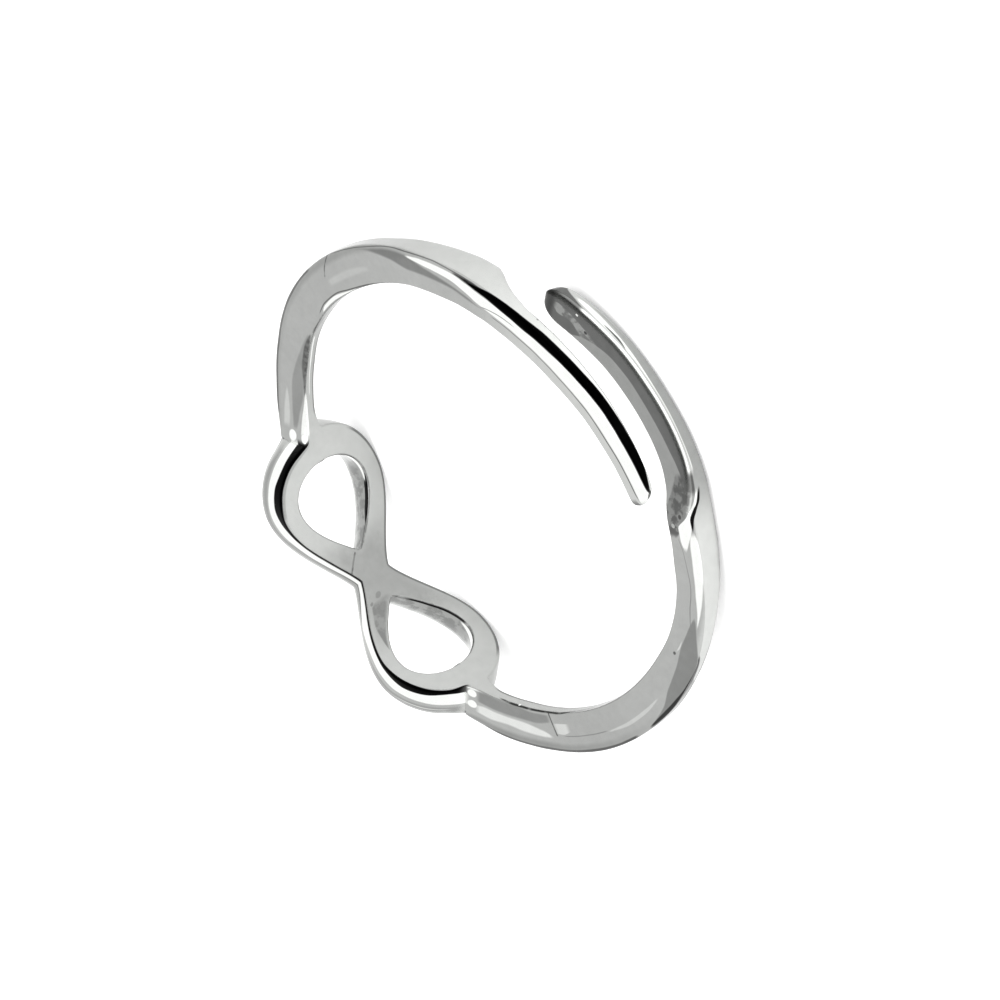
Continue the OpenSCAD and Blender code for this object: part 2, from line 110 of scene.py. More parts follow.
# Bands of reflected light and dark: tone, softness (mm), patchiness, then rows of along, from and to (mm).
# From and to are counted round the section from the upper inner edge.
BANDS = {
    "first_shade": (0.58, 0.10, 0.0, [
        (-10.2, 0.16, 0.29), (-9.1, 0.10, 0.45), (-8.4, 0.08, 0.58), (-7.3, 0.08, 0.74),
        (-6.3, 0.30, 0.72), (-5.7, 0.46, 0.70)]),
    "first_root_dark": (0.34, 0.08, 0.35, [
        (-10.3, 0.08, 0.20), (-9.4, 0.02, 0.30), (-8.6, 0.00, 0.30), (-7.9, 0.00, 0.18),
        (-7.1, 0.02, 0.12)]),
    "first_root_light": (0.98, 0.05, 0.0, [
        (-7.4, 0.02, 0.08), (-6.7, -0.06, 0.15), (-6.0, -0.12, 0.28), (-5.5, -0.16, 0.32)]),
    "first_strip": (0.93, 0.04, 0.0, [
        (-10.2, -0.10, 0.00), (-9.0, -0.16, -0.05), (-7.9, -0.20, -0.08), (-7.1, -0.22, -0.10)]),
    "first_inner_dark": (0.45, 0.06, 0.3, [
        (-14.3, -0.02, 0.08), (-13.5, -0.12, 0.06), (-12.5, -0.22, 0.06), (-11.4, -0.22, 0.08),
        (-10.4, -0.05, 0.14)]),
    "first_sliver": (1.00, 0.03, 0.0, [
        (-14.4, 0.04, 0.08), (-13.7, 0.06, 0.16), (-12.9, 0.10, 0.26), (-12.2, 0.10, 0.24),
        (-11.8, 0.10, 0.14)]),
    "first_inner_line": (0.36, 0.03, 0.0, [
        (-20.0, 0.00, 0.06), (-16.5, 0.02, 0.09), (-14.6, 0.08, 0.15), (-13.9, 0.13, 0.20),
        (-13.1, 0.25, 0.32), (-12.3, 0.25, 0.32), (-11.6, 0.16, 0.22)]),
    "first_patch": (0.74, 0.14, 0.0, [(-15.4, 0.52, 0.80), (-14.2, 0.48, 0.88), (-13.1, 0.52, 0.86)]),
    "first_wedge": (0.50, 0.12, 0.0, [
        (-21.0, 0.49, 0.54), (-20.4, 0.49, 0.66), (-19.3, 0.62, 0.86), (-18.1, 0.65, 1.12),
        (-17.5, 0.66, 1.30), (-16.6, 0.96, 1.40), (-15.5, 1.30, 1.44), (-14.6, 1.42, 1.48)]),
    "first_white": (1.00, 0.05, 0.0, [
        (-29.2, 0.52, 1.30), (-28.9, 0.53, 1.30), (-27.7, 0.53, 1.20), (-26.5, 0.54, 1.20),
        (-25.5, 0.55, 1.20), (-24.4, 0.57, 1.20), (-23.5, 0.58, 1.12), (-22.3, 0.58, 1.08),
        (-20.9, 0.60, 1.10), (-20.0, 0.80, 1.18), (-19.4, 0.96, 1.26), (-18.1, 1.09, 1.31),
        (-17.4, 1.2, 1.28)]),
    "first_curve": (0.45, 0.02, 0.0, [
        (-22.2, 0.83, 0.87), (-21.7, 0.80, 0.85), (-21.2, 0.71, 0.76), (-20.7, 0.57, 0.62)]),
    "first_strip_line": (0.34, 0.03, 0.0, [
        (-29.0, 0.48, 0.55), (-28.4, 0.46, 0.54), (-27.0, 0.46, 0.54), (-25.5, 0.48, 0.55),
        (-24.1, 0.51, 0.57), (-22.8, 0.52, 0.58), (-21.2, 0.50, 0.55)]),
    "first_outline": (0.34, 0.05, 0.0, [
        (-12.6, 1.46, 1.75), (-11.0, 1.42, 1.72), (-8.5, 1.38, 1.70), (-6.0, 1.36, 1.70)]),
    "first_root_glow": (0.80, 0.12, 0.0, [(-7.2, 0.86, 1.00), (-6.4, 0.76, 1.14), (-5.7, 0.80, 1.20)]),
    "first_edge_line": (0.34, 0.03, 0.0, [
        (-29.2, 0.04, 0.12), (-27.0, 0.05, 0.13), (-24.0, 0.04, 0.12), (-21.2, 0.03, 0.10),
        (-20.2, 0.03, 0.08)]),
    "first_tip": (0.50, 0.06, 0.0, [(-29.6, -0.30, 0.46), (-29.3, -0.30, 0.46), (-28.95, -0.30, 0.40)]),
    "first_rim": (0.40, 0.03, 0.0, [
        (-21.4, 1.27, 1.34), (-20.5, 1.25, 1.32), (-19.4, 1.29, 1.35), (-18.5, 1.36, 1.42),
        (-17.5, 1.35, 1.42), (-16.7, 1.41, 1.47), (-15.6, 1.42, 1.48), (-14.5, 1.48, 1.54),
        (-13.7, 1.56, 1.62)]),
    "first_grey": (0.12, 0.05, 0.20, [
        (-22.4, 1.03, 1.40), (-21.6, 1.04, 1.40), (-21.0, 1.08, 1.32), (-20.4, 1.12, 1.30),
        (-19.4, 1.24, 1.31)]),
    "first_black": (0.03, 0.05, 0.0, [
        (-28.9, 1.12, 1.20), (-28.5, 1.08, 1.34), (-27.9, 1.10, 1.50), (-27.0, 1.13, 1.56),
        (-26.1, 1.17, 1.60), (-25.4, 1.16, 1.60), (-24.6, 1.15, 1.58), (-23.9, 1.12, 1.56),
        (-23.2, 1.08, 1.54), (-22.5, 1.03, 1.48), (-21.8, 1.04, 1.44), (-21.3, 1.06, 1.40),
        (-20.8, 1.10, 1.35), (-20.3, 1.13, 1.27), (-20.0, 1.17, 1.22)]),
    "second_tail_dark": (0.41, 0.06, 0.0, [
        (22.3, 1.12, 1.50), (22.7, 1.04, 1.53), (23.8, 0.80, 1.56), (25.0, 0.74, 1.58), (26.2, 0.78, 1.61),
        (27.0, 0.76, 1.64), (27.7, 0.62, 1.60), (28.3, 0.38, 1.54), (28.8, 0.05, 1.60), (29.3, 0.0, 1.72),
        (29.9, 0.0, 1.78)]),
    "second_tail_glow": (0.85, 0.12, 0.0, [
        (22.9, 1.32, 1.62), (25.0, 1.34, 1.66), (28.0, 1.34, 1.68), (28.8, 1.34, 1.60)]),
    "second_squiggle": (0.60, 0.05, 0.8, [
        (27.6, 0.30, 0.62), (28.1, 0.22, 0.80), (28.5, 0.45, 0.90), (28.9, 0.65, 1.00), (29.4, 0.55, 1.05),
        (29.65, 0.70, 0.90)]),
    "second_tip_dark": (0.27, 0.08, 0.0, [(29.55, -0.3, 1.6), (30.2, -0.3, 1.6)]),
    "second_edge_white": (1.00, 0.05, 0.0, [
        (23.0, 1.54, 1.62), (24.0, 1.57, 1.64), (26.0, 1.60, 1.70), (27.6, 1.58, 1.80), (28.6, 1.60, 1.84),
        (29.1, 1.66, 1.78)]),
    "second_drop": (0.40, 0.04, 0.0, [(26.9, 1.58, 1.62), (27.4, 1.60, 1.72), (28.0, 1.62, 1.68)]),
    "second_edge_line": (0.62, 0.04, 0.0, [
        (23.4, 1.62, 1.70), (24.0, 1.68, 1.76), (26.0, 1.78, 1.86), (28.0, 1.84, 1.92), (28.6, 1.84, 1.90)]),
    "second_swirl": (0.38, 0.12, 0.55, [
        (20.9, -0.1, 0.45), (21.3, -0.1, 0.80), (21.8, 0.0, 1.15), (22.4, 0.3, 1.40), (23.0, 0.7, 1.45)]),
    # A patchy painted dark reflection near the second arm's inner edge.
    "second_dark_patch": (0.25, 0.08, 0.6, [(21.2, -0.05, 0.12), (21.8, -0.05, 0.18), (22.3, -0.02, 0.10)]),
    "second_white": (1.00, 0.04, 0.0, [
        (20.5, 0.72, 0.84), (20.9, 0.58, 1.02), (21.3, 0.58, 1.20), (21.7, 1.04, 1.30), (22.1, 1.36, 1.52),
        (22.5, 1.53, 1.60)]),
    "second_sliver": (0.10, 0.03, 0.0, [
        (21.2, 1.17, 1.23), (21.6, 1.18, 1.34), (21.9, 1.33, 1.53), (22.1, 1.50, 1.66), (22.5, 1.63, 1.72)]),
    "second_band": (1.00, 0.05, 0.0, [
        (17.7, 1.13, 1.17), (18.2, 1.08, 1.22), (19.0, 0.98, 1.28), (20.0, 0.97, 1.34), (20.7, 0.98, 1.32),
        (21.2, 1.08, 1.25)]),
    "second_band_line": (0.52, 0.04, 0.0, [
        (17.5, 0.86, 0.92), (18.4, 0.72, 0.80), (19.2, 0.76, 0.83), (20.4, 0.62, 0.68), (21.0, 0.44, 0.50)]),
    "second_wedge": (0.54, 0.06, 0.0, [
        (13.2, 1.48, 2.2), (14.3, 1.30, 2.2), (15.0, 1.02, 2.2), (15.9, 0.84, 1.70), (16.7, 0.68, 1.46),
        (17.5, 0.77, 1.20), (18.1, 0.95, 1.05)]),
    "second_wedge_edge": (0.22, 0.03, 0.0, [
        (13.3, 1.46, 1.54), (14.0, 1.43, 1.60), (14.8, 1.44, 1.66), (15.6, 1.50, 1.72), (16.3, 1.50, 1.64),
        (16.8, 1.42, 1.50)]),
    "second_dent": (0.84, 0.03, 0.0, [(16.35, 0.58, 0.62), (16.6, 0.61, 0.70), (16.95, 0.64, 0.68)]),
    "second_streak": (0.80, 0.06, 0.0, [
        (11.5, 0.92, 1.02), (12.7, 0.89, 1.08), (13.5, 0.89, 1.08), (14.4, 0.92, 1.02)]),
    "second_line": (0.52, 0.03, 0.0, [(9.4, 0.92, 0.98), (10.4, 0.91, 0.97), (11.5, 0.90, 0.96)]),
    "second_patch": (0.84, 0.05, 0.0, [(9.05, 0.47, 0.90), (9.4, 0.45, 0.92), (9.8, 0.45, 0.80)]),
    "second_root_mid": (0.56, 0.10, 0.0, [
        (5.75, 0.00, 0.60), (6.4, 0.00, 0.62), (7.4, 0.03, 0.62), (8.2, 0.12, 0.62), (9.0, 0.14, 0.50)]),
    "second_root_light": (0.90, 0.10, 0.0, [
        (5.7, 0.70, 1.08), (6.2, 0.62, 1.12), (7.0, 0.62, 1.04), (7.7, 0.64, 1.12), (8.5, 0.80, 1.14),
        (8.9, 0.98, 1.13)]),
    "second_root_dark": (0.22, 0.05, 0.5, [
        (6.7, -0.06, 0.04), (7.5, -0.02, 0.12), (8.4, 0.00, 0.12), (9.4, 0.00, 0.12), (10.3, -0.10, 0.02),
        (12.2, -0.22, -0.12)]),
    "second_outline": (0.34, 0.05, 0.0, [
        (6.0, 1.46, 1.80), (7.5, 1.50, 1.80), (9.5, 1.47, 1.80), (11.0, 1.46, 1.80), (12.6, 1.46, 1.78)]),
    "motif_rim": (0.62, 0.12, 0.0, [
        (-5.3, 0.80, 1.20), (-4.4, 0.80, 1.25), (-3.4, 0.78, 1.20), (-2.0, 0.50, 1.10), (-1.1, 0.44, 1.10),
        (-0.3, 0.38, 1.10), (0.3, 0.40, 1.10), (1.3, 0.60, 1.20), (2.6, 0.66, 1.25), (3.6, 0.80, 1.30),
        (4.6, 0.80, 1.30), (5.4, 0.86, 1.30)]),
    "motif_white": (1.00, 0.05, 0.0, [
        (-5.4, 0.45, 0.80), (-4.8, 0.32, 0.80), (-3.8, 0.41, 0.80), (-2.9, 0.22, 0.68), (-2.0, 0.09, 0.48),
        (-1.1, 0.09, 0.42), (-0.5, 0.09, 0.36), (-0.1, 0.09, 0.34), (0.3, 0.09, 0.36), (0.7, 0.09, 0.46),
        (1.3, 0.11, 0.62), (2.2, 0.11, 0.54), (2.9, 0.11, 0.62), (3.6, 0.16, 0.72), (4.4, 0.32, 0.74),
        (5.1, 0.24, 0.78), (5.5, 0.36, 0.90)]),
    "motif_streak": (0.88, 0.06, 0.0, [(3.4, 0.98, 1.04), (4.3, 0.94, 1.05), (5.2, 0.96, 1.04)]),
    "motif_line": (0.22, 0.025, 0.0, [
        (-2.4, 0.56, 0.61), (-1.9, 0.48, 0.53), (-1.1, 0.42, 0.48), (-0.5, 0.36, 0.42), (0.1, 0.34, 0.40),
        (0.7, 0.46, 0.52), (1.2, 0.58, 0.63)]),
    "motif_outline": (0.38, 0.05, 0.0, [
        (-5.3, 1.24, 1.80), (-4.5, 1.20, 1.75), (-3.5, 1.08, 1.60), (-2.5, 0.88, 1.40), (-1.5, 0.80, 1.30),
        (-0.5, 0.71, 1.20), (0.5, 0.70, 1.20), (1.5, 0.80, 1.30), (2.5, 0.88, 1.40), (3.5, 1.08, 1.60),
        (4.5, 1.20, 1.75), (5.3, 1.24, 1.80)]),
    # Painted shade in place of a bevel on the inner face beside the lower hole.
    "motif_bevel_shade": (0.48, 0.06, 0.5, [
        (0.80, -1.20, -0.40), (0.95, -1.20, -0.12), (1.45, -1.20, -0.12), (2.1, -1.20, -0.27),
        (2.7, -1.20, -0.46), (3.1, -1.20, -0.70)]),
    "motif_grey": (0.62, 0.05, 0.0, [
        (-5.3, -0.20, 0.10), (-4.9, -0.16, 0.10), (-4.4, -0.12, 0.08), (-3.8, -0.10, 0.10),
        (-3.2, -0.06, 0.08)]),
    "motif_black": (0.03, 0.04, 0.0, [
        (-5.42, -0.16, 0.50), (-5.1, -0.04, 0.40), (-4.8, 0.00, 0.38), (-4.2, 0.03, 0.48),
        (-3.7, 0.04, 0.48), (-3.2, 0.06, 0.36), (-2.6, 0.04, 0.18), (-1.9, 0.02, 0.11), (-1.3, 0.02, 0.11),
        (-0.9, 0.02, 0.11), (-0.5, 0.02, 0.11), (-0.1, 0.02, 0.12), (0.3, 0.03, 0.12), (0.8, 0.03, 0.12),
        (1.5, 0.03, 0.14), (2.3, 0.02, 0.15), (2.9, 0.02, 0.22), (3.4, 0.00, 0.30), (3.9, 0.00, 0.38),
        (4.5, 0.03, 0.36), (5.1, 0.06, 0.28), (5.45, -0.08, 0.36)]),
}
# The same on the lower half, counted from its own inner edge.
LOW_BANDS = {
    "first_far_edge": (0.48, 0.05, 0.0, [
        (-22.0, 1.12, 1.28), (-20.5, 1.06, 1.24), (-19.5, 1.20, 1.35), (-18.5, 1.26, 1.42),
        (-17.5, 1.34, 1.50), (-16.5, 1.40, 1.55), (-15.5, 1.46, 1.61), (-14.5, 1.52, 1.68)]),
    "second_far_edge": (0.48, 0.05, 0.0, [
        (14.5, 1.52, 1.67), (15.5, 1.46, 1.62), (16.5, 1.40, 1.55), (17.5, 1.30, 1.46), (18.5, 1.19, 1.35),
        (19.5, 1.06, 1.24), (20.5, 1.04, 1.20), (21.5, 1.10, 1.25), (22.5, 1.28, 1.45), (23.5, 1.40, 1.56),
        (26.0, 1.42, 1.57)]),
}
# The same on the far walls of the motif's holes: from and to are heights over the inner face (mm).
HOLE_BANDS = {
    "upper_hole_dark": (0.06, 0.03, 0.0, [
        (-3.2, 0.02, 0.08), (-2.7, 0.02, 0.22), (-2.1, 0.02, 0.22), (-1.6, 0.02, 0.06)]),
    "upper_hole_light": (1.00, 0.04, 0.0, [
        (-4.2, 0.02, 0.10), (-3.7, 0.02, 0.22), (-3.2, 0.04, 0.20), (-2.8, 0.1, 0.16)]),
    "lower_hole_dark": (0.08, 0.03, 0.0, [
        (1.3, 0.00, 0.06), (2.0, 0.00, 0.09), (2.8, 0.00, 0.09), (3.3, 0.00, 0.06)]),
    "lower_hole_light": (1.00, 0.04, 0.0, [(3.0, 0.08, 0.16), (3.6, 0.04, 0.34), (4.1, 0.04, 0.40)]),
}
# Bright and dark spots, the bright ones painted glints: along, round the section (mm), radius (mm), tone.
SPOTS = (
    (-5.50, 0.70, 0.20, 1.00), (-5.50, 0.12, 0.19, 1.00), (5.60, 0.28, 0.20, 1.00), (5.60, 0.76, 0.20, 1.00),
    (28.25, 0.74, 0.07, 0.25), (28.74, 1.16, 0.06, 0.95), (16.28, 0.56, 0.07, 0.40),
    (7.60, 0.00, 0.06, 0.95), (-22.9, 1.80, 0.05, 0.50), (-22.6, 1.76, 0.04, 0.50), (0.68, -0.45, 0.12, 0.52),
    (1.12, -0.55, 0.12, 0.50), (0.85, -0.15, 0.06, 0.50), (21.7, 0.75, 0.09, 0.32), (21.35, 0.35, 0.10, 0.70))
# Solder seams: along at the start and at the end (mm), from and to round the section (mm).
SEAMS = ((-13.15, -13.72, 0.98, 1.60), (9.0, 9.1, 0.05, 0.95), (-0.98, -0.40, -0.75, 0.05))
# Shares of the width that the rounding of an outer edge, an inner edge and a hole's edge take at most, and
# the share of its height that keeps the surface inside the CAD's box.
EDGE_SHARE, INNER_SHARE, HOLE_SHARE, HEIGHT_SHARE = 0.46, 0.4, 0.35, 0.9975
# The share of a strand, and the mm from a hole's tip, over which the side wall's height changes.
WALL_BLEND, TIP_BLEND = 0.6, 0.6
# In mm: how far the painted shade of a hole's wall reaches, the distance kept where no hole is near, and the
# smallest width to divide by. Then the decimals to which points are joined.
NEAR_HOLE, FAR_OFF, TINY, JOIN_DIGITS = 0.5, 9.0, 1e-9, 5

# Noise scales (per metre), and the noise values between which patches and pits start.
WAVER, PATCH, CLOUD, GRAIN, SCRATCH, PIT = 900.0, 2300.0, 420.0, 2600.0, 1500.0, 3200.0
PATCH_STEP, PIT_STEP = (0.42, 0.56), (0.26, 0.34)
# How far borders waver (mm), and how much of that each kind of mark takes.
SHAKE, BAND_SHAKE, HOLE_SHAKE, SPOT_SHAKE = 0.07, 0.7, 0.5, 1.2
SEAM_SHAKE, LINE_SHAKE, MARBLE_SHAKE = 0.9, 0.3, 3.0
# Steps round the section (mm): side wall, outer face, the marbling's upper end, the outer face's far side.
TO_WALL, TO_FACE, MARBLE_TOP, FAR_SIDE = (0.0, 0.10), (1.18, 1.40), (-0.3, 0.0), (0.05, 0.2)
# Steps along the ring (mm): the marbling's middle and ends, where the painted shadow line round the lower
# hole darkens, where the painted shade outline moves from the lower edge to the upper one, and the gap that
# it leaves at the roots.
MARBLE_AT, MARBLE_ENDS, RIM_SHADOW_DARKENS, OUTLINE_MOVES = 0.4, (1.0, 2.2), (2.8, 3.6), (12.0, 14.5)
ROOT_AT, ROOT_GAP = 5.6, (0.5, 0.9)
# Steps at a hole's wall (share) and a band's ends (mm), the fade at a seam's ends (mm), a spot's full part.
HOLE_STEP, END_STEP, SEAM_FADE, SPOT_CORE = (0.15, 0.6), (-0.04, 0.2), 0.05, 0.75
# Fine lines, from full to none (mm): the painted shadow round the holes, the painted shade outline and the
# seams.
LINE_AT, RIM_SHADOW_WIDTH, OUTLINE, SEAM_LINE = 0.03, (0.02, 0.05), (0.03, 0.08), (0.01, 0.045)
# Tones of the marbling, of the painted shadow lines round the holes, of the painted shade outlines and of the
# seams.
MARBLE_TONE, RIM_SHADOW_TONE, OUTLINE_SHADE_TONE, SEAM_TONE = 0.60, 0.42, 0.46, 0.30
# How patchy the marbling and the painted shade on the holes' walls are, how much the painted shadow line
# darkens, and how strong the seams are.
MARBLE_PATCHY, HOLE_PATCHY, RIM_SHADOW_DROP, SEAM_LEAST, SEAM_PATCHY = 0.35, 0.10, 0.18, 0.3, 0.5
# Wear in the tone, the tone that nothing goes below, and the power that makes light of a tone.
FINE_TONE, BROAD_TONE, DARKEST, GAMMA = 0.06, 0.10, 0.02, 2.2
# Wear in the roughness, and the least roughness.
BROAD_ROUGH, SEAM_ROUGH, SMOOTHEST = 0.12, 0.2, 0.05
# Bump: its parts, its strength and its depth (m).
SCRATCH_BUMP, FINE_BUMP, PIT_BUMP, SEAM_BUMP, BUMP, BUMP_DEPTH = 0.4, 0.35, 0.8, 1.5, 0.25, 0.00001

# Where the lamp stands (m) and how rough the floor is. How far right and down of the ring's middle the camera
# aims, from where to where it sees (m), and the width of its sensor (mm).
LAMP_AT, FLOOR_ROUGHNESS = Vector((-0.15, -0.1, 0.5)), 0.8
AIM_RIGHT, AIM_DOWN, NEAREST, FARTHEST, SENSOR_W = 0.000653, 0.000092, 0.01, 20.0, 36.0


def mix(a, b, t):
    """The value a share t of the way from a to b."""
    return a + (b - a) * t


def ease(t):
    """A smooth step from 0 to 1: t squared times (3 - 2t)."""
    c = np.clip(t, 0, 1)
    return c * c * (3 - 2 * c)


def dome(d, w):
    """The height, 0 to 1, of a quarter ellipse at distance d from its foot, w wide."""
    return np.sqrt(1 - (1 - np.minimum(1, d / w)) ** 2)


def column(table, c, x):
    """Column c of a table read at x: a cubic in each gap, with slopes at the rows that don't overshoot."""
    at, y = table[:, 0], table[:, c]
    rise = np.diff(y) / np.diff(at)
    a, b = rise[:-1], rise[1:]
    inner = np.where(a * b > 0, 2 * a * b / np.where(a + b == 0, 1, a + b), 0)
    m = np.concatenate([rise[:1], inner, rise[-1:]])
    x = np.clip(x, at[0], at[-1])
    k = np.clip(np.searchsorted(at, x, side="right") - 1, 0, len(at) - 2)
    h = at[k + 1] - at[k]
    t = (x - at[k]) / h
    return (y[k] * (1 + 2 * t) * (1 - t) ** 2 + m[k] * h * t * (1 - t) ** 2
            + y[k + 1] * t * t * (3 - 2 * t) - m[k + 1] * h * t * t * (1 - t))


def rows_of(mid_up, mid_dn, up, dn, is_open, arm, thick, tip):
    """Rows across the band: its middle or the hole's edge, and its own edge, above and below, and thickness.

    tip is what the rounding of a tail's end leaves of the height, from 1 to 0.
    """
    n = len(thick)
    return {"mid": np.stack([mid_up, mid_dn]), "edge": np.stack([up, dn]),
            "open": np.broadcast_to(is_open, n).copy(), "arm": np.broadcast_to(float(arm), n).copy(),
            "t": thick, "tip": tip}


def half_ring(s, table, shape, end, step, tip_l, power):
    """Rows from an arm's tip to the middle of the crossing, as (along, across) places on the flat band.

    The arm's middle and width follow its table, and over tip_l it narrows as the root of 1 - x ** power.
    The lobe's outlines are ellipses, and its sides run to the waist as the sine of a power of the distance.
    """
    z0, w0 = table[0, 1] * step, table[0, 2] * s.band_w / 2
    up_reach, dn_reach = shape[0] * s.lobe_reach, shape[1] * s.lobe_reach
    up_half, dn_half = shape[2] * s.half_w, shape[3] * s.half_w
    up_a, dn_a = np.arcsin((z0 + w0) / up_half), np.arcsin((w0 - z0) / dn_half)
    root_up, root_dn = s.lobe_at + up_reach * np.cos(up_a), s.lobe_at + dn_reach * np.cos(dn_a)
    root = (root_up + root_dn) / 2
    far = end * s.inner_r
    share = np.concatenate([
        1 - (1 - np.cos(np.linspace(0, np.pi / 2, TIP_ROWS)[:-1])) * tip_l / (far - root),
        np.linspace(1 - tip_l / (far - root), 0, ARM_ROWS)])
    along = mix(root, far, share)
    z, w = column(table, 1, share) * step, column(table, 2, share) * s.band_w / 2
    lean = ((root_up - root_dn) / 2 * (1 - ease(share / s.lean_share))
            + s.tip_lean * ease(1 - (1 - share) / s.lean_share))
    x = np.clip(1 - (far - along) / tip_l, 0, 1)
    tip = np.sqrt(1 - x * x)
    mid = np.stack([along, z], 1)
    off = np.stack([lean, w], 1) * np.sqrt(1 - x ** power)[:, None]
    arm = rows_of(mid, mid, mid + off, mid - off, False, 1, column(table, 3, share) * s.band_t, tip)
    flip = np.array([1, -1])

    def outline(reach, half, a):
        """The lobe's outer end: the ellipse at angle a."""
        return np.stack([s.lobe_at + reach * np.cos(a), half * np.sin(a)], 1)

    def side(half, at):
        """The lobe's side, from the waist up."""
        waist = s.waist_w / 2
        rise = np.sin(np.pi / 2 * (at / s.lobe_at) ** s.waist_power)
        return np.stack([at, waist + (half - waist) * rise], 1)

    def lobe(mid, up, dn, is_open):
        """Rows of the motif, thicker towards the lobe's middle. Below, the hole's edge is mirrored."""
        thick = mix(s.crossing_t, s.lobe_t, np.minimum(1, up[:, 0] / s.lobe_at) ** s.thicken)
        below = np.where(np.broadcast_to(is_open, len(up))[:, None], mid * flip, mid)
        return rows_of(mid, below, up, dn * flip, is_open, 0, thick, np.ones(len(up)))

    k = np.linspace(0, 1, END_ROWS)[1:-1]
    end_part = lobe(np.stack([mix(root, s.lobe_at + s.hole_reach, k), z0 * (1 - k)], 1),
                    outline(up_reach, up_half, mix(up_a, s.turn_a, k ** s.turn_power)),
                    outline(dn_reach, dn_half, mix(dn_a, s.turn_a, k ** s.turn_power)), False)
    k = np.linspace(0, 1, BOW_ROWS)[:-1]
    a, q = mix(s.turn_a, np.pi / 2, k), np.pi / 2 * k
    bow = lobe(np.stack([s.lobe_at + s.hole_reach * np.cos(q), s.hole_half * np.sin(q)], 1),
               outline(up_reach, up_half, a), outline(dn_reach, dn_half, a), k > 0)
    k = np.linspace(0, 1, FLANK_ROWS)
    at = mix(s.lobe_at, s.turn_at, k)
    up = 1 - k
    flank = lobe(np.stack([mix(s.tip_at, s.lobe_at, up), s.hole_half * np.sin(np.pi / 2 * up)], 1),
                 side(up_half, at), side(dn_half, at), k < 1)
    k = np.linspace(0, 1, CROSS_ROWS)[1:]
    at = s.turn_at * (1 - k)
    cross = lobe(np.stack([s.tip_at * (1 - k), 0 * k], 1), side(up_half, at), side(dn_half, at), False)
    parts = (arm, end_part, bow, flank, cross)
    return {key: np.concatenate([p[key] for p in parts], axis=1 if key in PLACES else 0) for key in arm}


def ring_rows(s):
    """All rows, from the first arm's tip over the motif to the second arm's tip."""
    a = half_ring(s, FIRST, LOBES[0], s.first_end, s.band_w, TIP_L[0], TIP_POWER[0])
    b = half_ring(s, SECOND, LOBES[1], s.second_end, -s.side_step, TIP_L[1], TIP_POWER[1])
    rows = {}
    for key in a:
        if key in PLACES:
            rows[key] = np.concatenate([a[key] * [-1, 1], b[key][:, -2::-1]], axis=1)
        else:
            rows[key] = np.concatenate([a[key], b[key][-2::-1]])
    return rows


